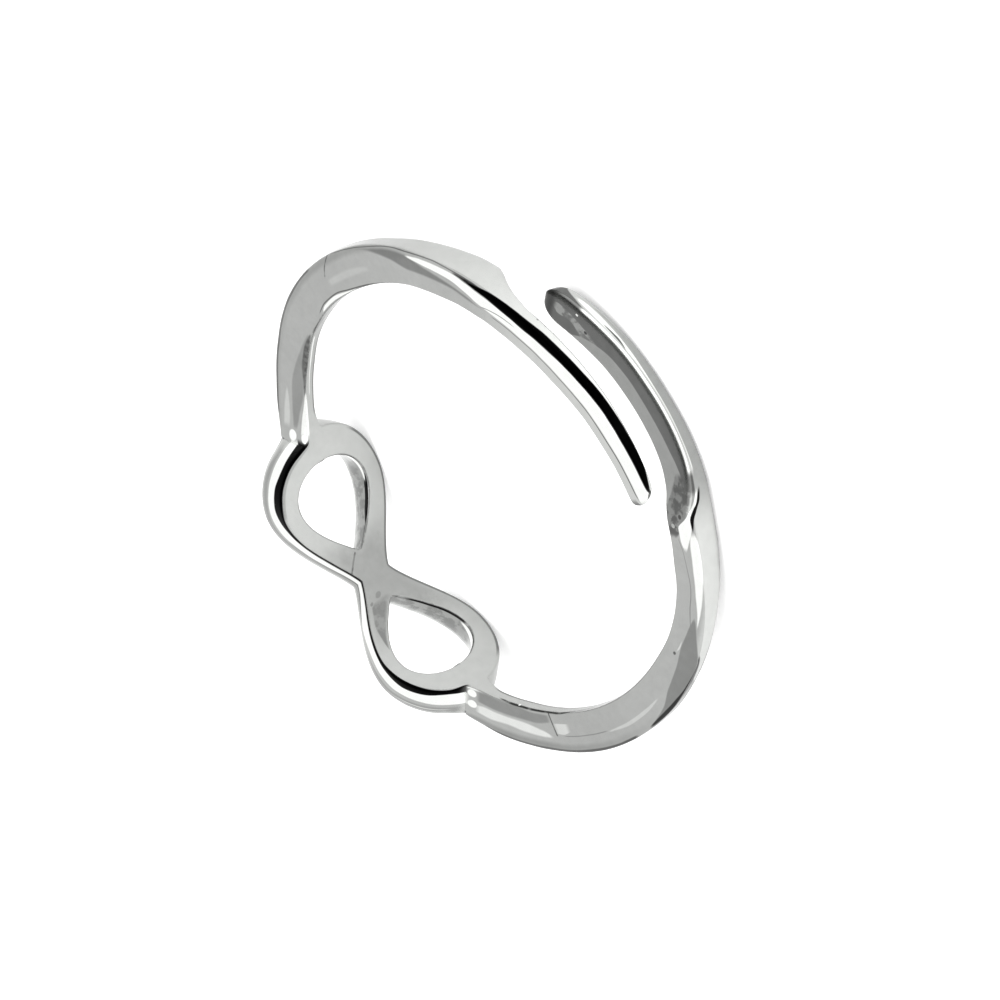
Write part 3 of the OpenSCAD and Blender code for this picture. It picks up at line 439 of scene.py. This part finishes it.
def ring_surface(s, rows):
    """The surface as a function of the row along the ring and the column round the band's section.

    A point at (along, across) on the flat band and h over the inner face goes to the angle along / inner_r,
    the radius inner_r + h and the height across + lie_h. From the inner face h climbs a quarter circle, the
    side wall and the outer face, and goes down the hole's wall. The outer face is the wall's height plus the
    rest of the thickness times a dome of the distance to the edge and one of the distance to the hole.
    """
    mid, edge = rows["mid"][:, :, None], rows["edge"][:, :, None]
    span = np.maximum(np.linalg.norm(edge - mid, axis=-1), TINY)
    t, arm, opened = rows["t"][None, :, None], rows["arm"][None, :, None], rows["open"][None, :, None]
    up_edge = rows["edge"][0][None, :, None]
    # m is 0 on the motif's round strands and 1 on the arms. far grows from the crossing to a lobe's middle.
    out = np.abs(up_edge[..., 0])
    m = np.where(arm == 1, 1, ease((out - s.lobe_at - s.join_at) / s.join_l))
    far = np.minimum(1, out / s.lobe_at)
    t = np.where(arm == 1, t, mix(t, FIRST[0, 3] * s.band_t, m))
    upper = np.array([1.0, 0])[:, None, None]
    own = upper * mix(s.crossing_wall, s.lobe_wall, far ** s.thicken) + (1 - upper) * s.down_wall
    round_w = mix(s.dome_w, np.maximum(TINY, np.minimum(s.edge_w, EDGE_SHARE * span)), m)
    sign = np.where(up_edge[..., 0] < 0, -1.0, 1.0)
    inward = np.abs(rows["mid"][0][None, :, None, 0]) < s.lobe_at
    near = np.where(inward, s.tip_at, s.lobe_at + s.hole_reach)
    hole_tip = np.stack([sign * near, 0 * near], -1)
    tip_d = np.linalg.norm(mid - hole_tip, axis=-1)
    at_mid = mix(own.mean(0, keepdims=True), own, np.where(opened, ease(tip_d / TIP_BLEND), 0))

    def wall_h(v):
        """The height where the outer face starts, at a share v of the way from the middle to the edge."""
        return mix(mix(at_mid, own, ease(v / WALL_BLEND)) * t, t - s.edge_h, m)

    def face_h(v):
        """The height of the outer face there."""
        p = mix(mid, edge, v[..., None])
        low = wall_h(v)
        d_edge = np.linalg.norm(p - edge, axis=-1)
        d_hole = np.where(opened, np.linalg.norm(p - mid, axis=-1), np.linalg.norm(p - hole_tip, axis=-1))
        hole = np.where(arm == 1, 1, mix(dome(d_hole, s.dome_w), 1, m))
        return low + (t - low) * dome(d_edge, round_w) * hole

    one = np.ones(span.shape)
    rho = np.minimum(s.inner_round, INNER_SHARE * span)
    rho_hole = np.where(opened, np.minimum(s.inner_round, HOLE_SHARE * tip_d), 0)
    places, heights, of_hole = [], [], []

    def add(v, h, is_hole):
        """Columns at the shares v and the heights h."""
        places.append(mix(mid, edge, v[..., None]))
        heights.append(h + 0 * v)
        of_hole.extend([is_hole] * v.shape[-1])

    v = mix(rho_hole / span, 1 - rho / span, np.linspace(0, 1, INNER_N + 1)[:-1])
    add(v, 0 * v, False)
    a = np.linspace(0, np.pi / 2, ROUND_N)
    add(1 - rho / span * (1 - np.sin(a)), rho * (1 - np.cos(a)), False)
    a = np.linspace(0, 1, WALL_N + 1)[1:]
    add(one * a ** 0, mix(rho, wall_h(one), a), False)
    v = (1 + np.cos(np.linspace(0, np.pi, FACE_N + 1)[1:])) / 2 * one
    h = face_h(v)
    add(v, h, False)
    a = np.linspace(0, 1, HOLE_N + 1)[1:]
    add(0 * one * a, mix(h[..., -1:], rho_hole, a), True)
    a = np.linspace(0, np.pi / 2, ROUND_N)[1:-1]
    add(rho_hole / span * (1 - np.cos(a)), rho_hole * (1 - np.sin(a)), True)
    p, h = np.concatenate(places, 2), np.concatenate(heights, 2)
    core = rows["t"][None, :, None] * np.where(mid[..., 0] > 0, TIP_CORE[1], TIP_CORE[0])
    h = np.where(arm == 1, core + (h - core) * rows["tip"][None, :, None], h) * HEIGHT_SHARE
    a, r = p[..., 0] / s.inner_r, s.inner_r + h
    x = np.stack([r * np.cos(a), r * np.sin(a), np.maximum(p[..., 1] + s.lie_h, s.floor_z)], -1)
    run = np.cumsum(np.linalg.norm(np.diff(x, axis=2, prepend=x[:, :, :1]), axis=-1), 2)
    run = run - run[..., INNER_N:INNER_N + 1]
    last = run[:, :, FACE_END - 1:FACE_END]
    n = np.arange(run.shape[2])
    of_hole = np.array(of_hole)
    off = np.linalg.norm(p - mid, axis=-1)
    near_hole = np.where(opened & (n >= FACE_END - FACE_N), np.clip(1 - off / NEAR_HOLE, 0, 1), 0)
    upper = np.arange(2)[:, None, None] == 0
    # run is counted from the own half's inner edge, and girth from the upper one. hole is 1 on a hole's wall,
    # gate where bands may show, below on the lower half, and edge is the distance to the hole's edge.
    marks = {
        "along": p[..., 0],
        "run": run,
        "girth": np.concatenate([run[:1], last[:1] + last[1:] - run[1:]]),
        "hole": np.where(of_hole, 1, near_hole),
        "rise": h,
        "below": np.where(upper, 0.0, 1.0) + 0 * run,
        "gate": np.where(upper, n > 0, (n >= INNER_N + ROUND_N) & ~of_hole) + 0 * run,
        "edge": np.where(upper & (n < INNER_N) & opened, off, FAR_OFF) + 0 * run,
    }
    return x, marks, of_hole


def ring_quads(x, opened, of_hole):
    """Corner numbers of the surface's quads. Hole walls are left out where the band has no hole."""
    ids = np.arange(x[..., 0].size).reshape(x.shape[:3])
    a, b = ids[:, :-1], ids[:, 1:]
    quads = np.stack([a, b, np.roll(b, -1, 2), np.roll(a, -1, 2)], -1)
    quads[1] = quads[1][..., ::-1]
    wall = np.roll(of_hole, -1)
    wall[-1] = True
    has_hole = opened[:-1] | opened[1:]
    return quads[np.broadcast_to(~(wall[None, None] & ~has_hole[None, :, None]), quads.shape[:3])]


def shader_values(m):
    """What the shader reads at each vertex: its place and painted tones of light and shade, and how far it is
    inside each band.
    """
    values = {
        "place": np.stack([m.run, m.girth, m.hole], 1),
        "line": np.stack([m.along, m.gate, m.below], 1),
        "edge": m.edge,
        "tones": np.stack([column(PAINTED_TONES, c, m.along) for c in (1, 2, 3)], 1),
    }
    for bands, level in ((BANDS, m.girth), (LOW_BANDS, m.run), (HOLE_BANDS, m.rise)):
        for name, (*_, table) in bands.items():
            table = np.array(table)
            low, high = column(table, 1, m.along), column(table, 2, m.along)
            ends = np.minimum(m.along - table[0, 0], table[-1, 0] - m.along)
            values[name] = np.stack([level - low, high - level, ends], 1)
    return values


def faces_of(quads):
    """Corner lists: quads whole, and triangles where two neighbouring corners of a quad are one."""
    same = [quads[:, i] == quads[:, (i + 1) % 4] for i in range(4)]
    n = sum(k.astype(int) for k in same)
    whole = quads[(n == 0) & (quads[:, 0] != quads[:, 2]) & (quads[:, 1] != quads[:, 3])]
    three = []
    for i in range(4):
        q = quads[(n == 1) & same[i]]
        three.append(q[:, [(i + 1) % 4, (i + 2) % 4, (i + 3) % 4]])
    return whole, np.concatenate(three)


def add_object(name, data):
    """A new object in the scene."""
    obj = bpy.data.objects.new(name, data)
    bpy.context.scene.collection.objects.link(obj)
    return obj


def make_mesh(name, points, quads, attributes):
    """A smooth mesh in metres from points in mm, turned outward, with the attributes kept at its vertices."""
    whole, three = faces_of(quads)
    tri = np.concatenate([whole[:, [0, 1, 2]], whole[:, [0, 2, 3]], three])
    a, b, c = points[tri[:, 0]], points[tri[:, 1]], points[tri[:, 2]]
    if (a * np.cross(b, c)).sum() < 0:
        whole, three = whole[:, ::-1], three[:, ::-1]
    mesh = bpy.data.meshes.new(name)
    mesh.vertices.add(len(points))
    mesh.vertices.foreach_set("co", (points / 1000).astype(np.float32).ravel())
    corners = np.concatenate([whole.ravel(), three.ravel()])
    mesh.loops.add(len(corners))
    mesh.loops.foreach_set("vertex_index", corners.astype(np.int32))
    sizes = np.concatenate([np.full(len(whole), 4), np.full(len(three), 3)])
    mesh.polygons.add(len(sizes))
    mesh.polygons.foreach_set("loop_start", (np.cumsum(sizes) - sizes).astype(np.int32))
    mesh.update(calc_edges=True)
    if mesh.validate():
        raise RuntimeError("The surface has faces that can't be kept.")
    mesh.polygons.foreach_set("use_smooth", np.ones(len(sizes), bool))
    for key, values in attributes.items():
        kind = "FLOAT_VECTOR" if values.ndim == 2 else "FLOAT"
        field = "vector" if values.ndim == 2 else "value"
        mesh.attributes.new(key, kind, "POINT").data.foreach_set(field, values.astype(np.float32).ravel())
    return add_object(name, mesh)


class Value:
    """A socket in a shader tree. A float one can be reckoned with like a number."""

    def __init__(self, tree, socket):
        self.tree, self.socket = tree, socket

    def __add__(self, other):
        return self.tree.math("ADD", self, other)

    def __sub__(self, other):
        return self.tree.math("SUBTRACT", self, other)

    def __rsub__(self, other):
        return self.tree.math("SUBTRACT", other, self)

    def __mul__(self, other):
        return self.tree.math("MULTIPLY", self, other)

    def __pow__(self, other):
        return self.tree.math("POWER", self, other)

    def __rpow__(self, other):
        return self.tree.math("POWER", other, self)

    def __abs__(self):
        return self.tree.math("ABSOLUTE", self)

    __radd__, __rmul__ = __add__, __mul__

    def over(self, start, end):
        """0 below start, 1 above end, smooth between."""
        return self.tree.node("ShaderNodeMapRange", {"interpolation_type": "SMOOTHSTEP"},
                              {"Value": self, "From Min": start, "From Max": end})["Result"]


class Tree:
    """The node tree of a material or a world."""

    def __init__(self, owner):
        owner.use_nodes = True
        self.tree = owner.node_tree
        self.tree.nodes.clear()

    def node(self, kind, settings=None, values=None):
        """A new node of that type, with its settings and its inputs' values or links: its outputs by name."""
        node = self.tree.nodes.new(kind)
        for key, value in (settings or {}).items():
            setattr(node, key, value)
        for key, value in (values or {}).items():
            if isinstance(value, Value):
                self.tree.links.new(value.socket, node.inputs[key])
            else:
                node.inputs[key].default_value = value
        return {socket.name: Value(self, socket) for socket in node.outputs}

    def math(self, operation, *values):
        """The outcome of one operation on numbers or values."""
        return self.node("ShaderNodeMath", {"operation": operation}, dict(enumerate(values)))["Value"]

    def attribute(self, name, part="Fac"):
        """A value kept at the mesh's vertices."""
        return self.node("ShaderNodeAttribute", {"attribute_name": name})[part]

    def split(self, vector):
        """The three parts of a vector."""
        return self.node("ShaderNodeSeparateXYZ", None, {"Vector": vector}).values()

    def noise(self, at, scale, detail=2.0, roughness=0.5, stretch=(1, 1, 1)):
        """Noise from 0 to 1 at a place, finer along the axes that are stretched."""
        place = self.node("ShaderNodeVectorMath", {"operation": "MULTIPLY"}, {0: at, 1: stretch})["Vector"]
        values = {"Vector": place, "Scale": scale, "Detail": detail, "Roughness": roughness}
        return self.node("ShaderNodeTexNoise", None, values)["Fac"]


def shader_fields(t):
    """What the shader knows of a point: its place on the ring in mm, its parts' painted tones of light and
    shade, and two noises.
    """
    f = SimpleNamespace()
    f.here = t.node("ShaderNodeTexCoord")["Object"]
    f.run, f.girth, f.hole = t.split(t.attribute("place", "Vector"))
    f.along, f.gate, f.below = t.split(t.attribute("line", "Vector"))
    f.edge = t.attribute("edge")
    f.inner, f.wall, f.face = t.split(t.attribute("tones", "Vector"))
    f.shake = (t.noise(f.here, WAVER, 3.0) - 0.5) * SHAKE
    f.patches = t.noise(f.here, PATCH, 3.0, 0.6).over(*PATCH_STEP)
    f.walls = f.hole.over(*HOLE_STEP)
    f.side = f.gate * (1 - f.walls)
    return f


def lay(f, tone, dark, mask, patchy=0.0):
    """The tone with another laid over it where mask is 1. The patches decide over a share, patchy."""
    if patchy:
        mask = mask * (1 - patchy + f.patches * patchy)
    return tone + (dark - tone) * mask


def part_tones(f, looks):
    """The painted tone of light and shade on each part of the section, then the marbled crossing, the painted
    shadow lines round the holes and the painted shade outlines.
    """
    q = f.run + f.shake
    # Painted tones of light and shade: inner face, side wall and outer face.
    tone = f.inner + (f.wall - f.inner) * q.over(*TO_WALL)
    tone = tone + (f.face - tone) * q.over(*TO_FACE)
    # Painted shade on the walls of the holes, broken into patches.
    tone = tone + (looks.hole_shade_tone - tone + (f.patches - 0.5) * HOLE_PATCHY) * f.walls
    middle = 1 - abs(f.along - MARBLE_AT + f.shake * MARBLE_SHAKE).over(*MARBLE_ENDS)
    tone = lay(f, tone, MARBLE_TONE, middle * (1 - q.over(*MARBLE_TOP)), MARBLE_PATCHY)
    # A painted shadow line along the rim of each hole, outside the crossing, darker round the lower hole.
    line = (1 - abs(f.edge - LINE_AT).over(*RIM_SHADOW_WIDTH)) * (1 - middle)
    tone = lay(f, tone, RIM_SHADOW_TONE - f.along.over(*RIM_SHADOW_DARKENS) * RIM_SHADOW_DROP, line)
    # A painted shade line along the inner edge, with a gap at the arms' roots.
    far = abs(f.along).over(*OUTLINE_MOVES)
    low = (1 - f.gate) * (1 - f.walls)
    gap = abs(abs(f.along) - ROOT_AT).over(*ROOT_GAP)
    outline = 1 - abs(f.run - LINE_AT + f.shake * LINE_SHAKE).over(*OUTLINE)
    return lay(f, tone, OUTLINE_SHADE_TONE, outline * (far * f.side + (1 - far) * low) * gap)


def reflections(t, f, tone):
    """The painted reflections: the bands of light and dark, and the spots, laid over the tone."""
    other, hidden = f.side * (f.girth - f.run).over(*FAR_SIDE), f.walls * f.below
    groups = ((BANDS, f.side, BAND_SHAKE), (LOW_BANDS, other, BAND_SHAKE), (HOLE_BANDS, hidden, HOLE_SHAKE))
    for bands, place, share in groups:
        for name, (dark, soft, patchy, _) in bands.items():
            low, high, ends = t.split(t.attribute(name, "Vector"))
            wobble = f.shake * share
            inside = (low + wobble).over(0.0, soft) * (high - wobble).over(0.0, soft) * ends.over(*END_STEP)
            tone = lay(f, tone, dark, inside * place, patchy)
    # Spots: painted glints, and small darker spots.
    for at, height, radius, dark in SPOTS:
        x, y = f.along - at, f.girth - height
        d = (x * x + y * y) ** 0.5 + f.shake * SPOT_SHAKE
        tone = lay(f, tone, dark, (1 - d.over(radius * SPOT_CORE, radius)) * f.side)
    return tone


def seam_mask(f, start, end, low, high):
    """1 along a solder seam, which leans from start to end between low and high, and 0 elsewhere."""
    level = f.girth + f.shake
    off = abs(f.along - (start + (level - low) * ((end - start) / (high - low))) + f.shake * SEAM_SHAKE)
    inside = level.over(low - SEAM_FADE, low) * (1 - level.over(high, high + SEAM_FADE))
    return (1 - off.over(*SEAM_LINE)) * inside * f.side


def silver(looks):
    """Polished silver: the painted tone of light and shade on each part, the painted reflections and the
    seams laid over it, and fine wear.
    """
    mat = bpy.data.materials.new("silver")
    t = Tree(mat)
    f = shader_fields(t)
    seam = sum(seam_mask(f, *row) for row in SEAMS)
    tone = reflections(t, f, part_tones(f, looks))
    tone = lay(f, tone, SEAM_TONE, seam * (SEAM_LEAST + f.patches * SEAM_PATCHY))
    fine = t.noise(f.here, GRAIN, 4.0, 0.6) - 0.5
    broad = t.noise(f.here, CLOUD, 2.0) - 0.5
    tone = t.math("MAXIMUM", tone + fine * FINE_TONE + broad * BROAD_TONE * (1 - tone), DARKEST)
    grey = tone ** GAMMA * looks.brightness
    values = {0: tuple(looks.tint), "Scale": grey}
    tint = t.node("ShaderNodeVectorMath", {"operation": "SCALE"}, values)["Vector"]
    scratch = t.noise(f.here, SCRATCH, 3.0, 0.6, (0.2, 1.0, 4.0)) - 0.5
    pits = 1 - t.noise(f.here, PIT, 1.0).over(*PIT_STEP)
    height = scratch * SCRATCH_BUMP + fine * FINE_BUMP - pits * PIT_BUMP - seam * SEAM_BUMP
    values = {"Strength": BUMP, "Distance": BUMP_DEPTH, "Height": height}
    bump = t.node("ShaderNodeBump", None, values)["Normal"]
    rough = t.math("MAXIMUM", looks.roughness + broad * BROAD_ROUGH + seam * SEAM_ROUGH, SMOOTHEST)
    shader = t.node("ShaderNodeBsdfPrincipled", None,
                    {"Base Color": tint, "Metallic": 1.0, "Roughness": rough, "Normal": bump})["BSDF"]
    t.node("ShaderNodeOutputMaterial", None, {"Surface": shader})
    return mat


def plain(name, colour, roughness, glow):
    """A plain matt material, a little lit from within, so that it stays pale."""
    mat = bpy.data.materials.new(name)
    t = Tree(mat)
    shader = t.node("ShaderNodeBsdfPrincipled", None,
                    {"Base Color": (*colour, 1.0), "Roughness": roughness, "Emission Color": (*colour, 1.0),
                     "Emission Strength": glow})["BSDF"]
    t.node("ShaderNodeOutputMaterial", None, {"Surface": shader})
    return mat


def length(name, description, default):
    """A length in metres."""
    return bpy.props.FloatProperty(name=name, description=description, default=default, unit="LENGTH",
                                   precision=5)


def angle(name, description, default):
    """An angle in radians."""
    return bpy.props.FloatProperty(name=name, description=description, default=default, unit="ROTATION")


def factor(name, description, default, most=1):
    """A number from 0 to the most, without a unit."""
    return bpy.props.FloatProperty(name=name, description=description, default=default, subtype="FACTOR",
                                   min=0, max=most)


def colour(name, description, default):
    """A colour."""
    return bpy.props.FloatVectorProperty(name=name, description=description, default=default,
                                         subtype="COLOR", size=3, min=0, max=1)


class RingSizes(bpy.types.PropertyGroup):
    """Sizes of the ring."""

    inner_r: length("Inner radius", "Radius of the finger hole", 0.00825)
    band_w: length("Band width", "Widest part of the band, along the finger", 0.0015)
    band_t: length("Band thickness", "Thickness of the band, away from the finger", 0.00152)
    edge_w: length("Edge width", "Width of the band's rounded outer edges", 0.00032)
    edge_h: length("Edge height", "Depth of the band's rounded outer edges", 0.00036)
    inner_round: length("Inner rounding", "Radius of the wear on the inner edges", 0.00009)
    side_step: length("Side step", "How far the second tail lies to the side", 0.002)
    motif_w: length("Motif width", "Width of the infinity along the finger", 0.0046)
    lobe_spacing: length("Lobe spacing", "Distance between the middles of the lobes", 0.0064)
    lobe_reach: length("Lobe reach", "From a lobe's middle to its outer end", 0.00236)
    strand_w: length("Strand width", "Width of the strands beside the holes", 0.00078)
    end_strand_w: length("End strand width", "Width of the strand round a lobe's end", 0.00116)
    waist_w: length("Waist width", "Width of the infinity at its crossing", 0.00138)
    crossing_l: length("Crossing length", "Distance between the two holes", 0.0019)
    lobe_t: length("Lobe thickness", "Thickness of the lobes", 0.00145)
    crossing_t: length("Crossing thickness", "Thickness of the crossing", 0.00105)
    dome_w: length("Dome width", "Width of the strands' rounded edges", 0.0005)
    first_end: angle("First end", "Angle where the first tail ends", 3.53429)
    second_end: angle("Second end", "Angle where the second tail ends", 3.644)


class SilverLooks(bpy.types.PropertyGroup):
    """Colours of the silver."""

    tint: colour("Tint", "Colour of the silver", (0.985, 1.0, 0.975))
    brightness: factor("Brightness", "Reflected share at full tone", 0.77, 2)
    # The walls of the motif's holes get a painted shade of this tone.
    hole_shade_tone: factor("Hole tone", "Tone of the walls of the motif's holes", 0.60)
    roughness: factor("Roughness", "Roughness of the polish", 0.22)


class StageLooks(bpy.types.PropertyGroup):
    """Floor, light and camera."""

    floor_colour: colour("Floor colour", "Colour of the floor", (0.93, 0.93, 0.93))
    floor_glow: factor("Floor glow", "Light that the floor gives of itself", 0.32, 2)
    floor_size: length("Floor size", "Width of the floor", 4.0)
    sky: factor("Sky strength", "Strength of the light from all round", 1.3, 10)
    lamp: bpy.props.FloatProperty(name="Lamp power", description="Power of the large soft lamp", default=1.2,
                                  unit="POWER", min=0)
    lamp_size: length("Lamp size", "Width of the large soft lamp", 0.5)
    azimuth: angle("Azimuth", "Direction in which the camera looks, from +X", -0.02631)
    elevation: angle("Elevation", "How steeply the camera looks down", 0.57405)
    roll: angle("Roll", "How far the camera is turned on its own axis", -2.14360)
    distance: length("Distance", "From the camera to the ring's middle", 0.4125)
    lens: bpy.props.FloatProperty(name="Lens", description="Focal length in mm", default=437.2,
                                  subtype="NONE")


def sizes_in_mm(p):
    """The ring's sizes in mm, with the ones that follow from them."""
    lengths = [key for key in RingSizes.__annotations__ if not key.endswith("_end")]
    s = SimpleNamespace(**{key: getattr(p, key) * 1000 for key in lengths})
    s.first_end, s.second_end = p.first_end, p.second_end
    # Along the ring: a lobe's middle, the holes' tips at the crossing, and where the arms' form takes over.
    s.lobe_at, s.half_w, s.tip_at = s.lobe_spacing / 2, s.motif_w / 2, s.crossing_l / 2
    s.join_at, s.join_l = 0.78 * s.lobe_reach, 0.4
    # Half lengths of a hole, the angle and the place where a lobe's rows run into the next stretch, and the
    # powers by which they turn at its end and narrow to the waist.
    s.hole_reach, s.hole_half = s.lobe_reach - s.end_strand_w, s.half_w - s.strand_w
    s.turn_a, s.turn_at, s.turn_power, s.waist_power = np.radians(28), s.waist_w * 0.3, 1.5, 1.2
    # Height of the side walls as shares of the thickness, at the crossing, at the lobes and below.
    s.crossing_wall, s.lobe_wall, s.down_wall, s.thicken = 0.34, 0.5, 0.2, 0.8
    # How far the arms' ends lean, and over which share of their length.
    s.lean_share, s.tip_lean = 0.12, 0.06
    # How high the flat band's middle lies, and the lowest height, a little over the floor.
    s.lie_h = max(s.half_w, s.side_step + 0.22 * s.band_w)
    s.floor_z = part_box(NODE)[0][2] * 1000 + 0.001
    return s


class RING_OT_band(bpy.types.Operator):
    """Build the ring's surface in polished silver"""

    bl_idname = "ring.band"
    bl_label = "Ring"

    def execute(self, context):
        s = sizes_in_mm(context.scene.ring_sizes)
        rows = ring_rows(s)
        x, marks, of_hole = ring_surface(s, rows)
        quads = ring_quads(x, rows["open"], of_hole)
        points = x.reshape(-1, 3)
        _, first, where = np.unique(np.round(points, JOIN_DIGITS), axis=0, return_index=True,
                                    return_inverse=True)
        values = shader_values(SimpleNamespace(**{k: v.ravel()[first] for k, v in marks.items()}))
        ring = make_mesh("ring", points[first], where.ravel()[quads], values)
        ring.data.materials.append(silver(context.scene.ring_silver))
        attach(ring, "root")
        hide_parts(NODE)
        return {"FINISHED"}


class RING_OT_stage(bpy.types.Operator):
    """Build the floor, the light and the camera"""

    bl_idname = "ring.stage"
    bl_label = "Stage"

    def execute(self, context):
        scene, p = context.scene, context.scene.ring_stage
        h = p.floor_size / 2
        mesh = bpy.data.meshes.new("floor")
        mesh.from_pydata([(-h, -h, 0), (h, -h, 0), (h, h, 0), (-h, h, 0)], [], [(0, 1, 2, 3)])
        floor = add_object("floor", mesh)
        mesh.materials.append(plain("floor", p.floor_colour, FLOOR_ROUGHNESS, p.floor_glow))
        lamp = bpy.data.lights.new("lamp", "AREA")
        lamp.size, lamp.energy = p.lamp_size, p.lamp
        down = (-LAMP_AT).to_track_quat("-Z", "Y").to_matrix().to_4x4()
        add_object("lamp", lamp).matrix_world = Matrix.Translation(LAMP_AT) @ down
        world = bpy.data.worlds.new("studio")
        scene.world = world
        scene.view_settings.view_transform = "Standard"
        t = Tree(world)
        values = {"Color": (1.0, 1.0, 1.0, 1.0), "Strength": p.sky}
        light = t.node("ShaderNodeBackground", None, values)["Background"]
        t.node("ShaderNodeOutputWorld", None, {"Surface": light})
        middle = Vector((0, 0, sizes_in_mm(scene.ring_sizes).lie_h / 1000))
        ahead = Vector((np.cos(p.elevation) * np.cos(p.azimuth), np.cos(p.elevation) * np.sin(p.azimuth),
                        -np.sin(p.elevation)))
        level = ahead.cross(Vector((0, 0, 1))).normalized()
        right = Matrix.Rotation(-p.roll, 3, ahead) @ level
        up = right.cross(ahead)
        aim = middle + right * AIM_RIGHT - up * AIM_DOWN
        turn = Matrix((right, up, -ahead)).transposed().to_4x4()
        data = bpy.data.cameras.new("camera")
        data.lens, data.sensor_width = p.lens, SENSOR_W
        data.clip_start, data.clip_end = NEAREST, FARTHEST
        camera = add_object("camera", data)
        camera.matrix_world = Matrix.Translation(aim - ahead * p.distance) @ turn
        scene.camera = camera
        return {"FINISHED"}


class RING_PT_panel(bpy.types.Panel):
    """The ring's sizes and looks, and the buttons that build it"""

    bl_idname = "RING_PT_panel"
    bl_label = "Infinity Ring"
    bl_space_type = "VIEW_3D"
    bl_region_type = "UI"
    bl_category = "Ring"

    def draw(self, context):
        scene = context.scene
        for group, button in ((scene.ring_sizes, "ring.band"), (scene.ring_silver, None),
                              (scene.ring_stage, "ring.stage")):
            for key in type(group).__annotations__:
                self.layout.prop(group, key)
            if button:
                self.layout.operator(button)


CLASSES = (RingSizes, SilverLooks, StageLooks, RING_OT_band, RING_OT_stage, RING_PT_panel)
GROUPS = {"ring_sizes": RingSizes, "ring_silver": SilverLooks, "ring_stage": StageLooks}


def register():
    """Adds the classes and the scene's property groups."""
    for cls in CLASSES:
        bpy.utils.register_class(cls)
    for key, group in GROUPS.items():
        setattr(bpy.types.Scene, key, bpy.props.PointerProperty(type=group))


def unregister():
    """Takes them away again."""
    for key in GROUPS:
        delattr(bpy.types.Scene, key)
    for cls in reversed(CLASSES):
        bpy.utils.unregister_class(cls)


def main():
    """Builds the whole scene."""
    register()
    bpy.ops.ring.band()
    bpy.ops.ring.stage()


if __name__ == "__main__":
    main()
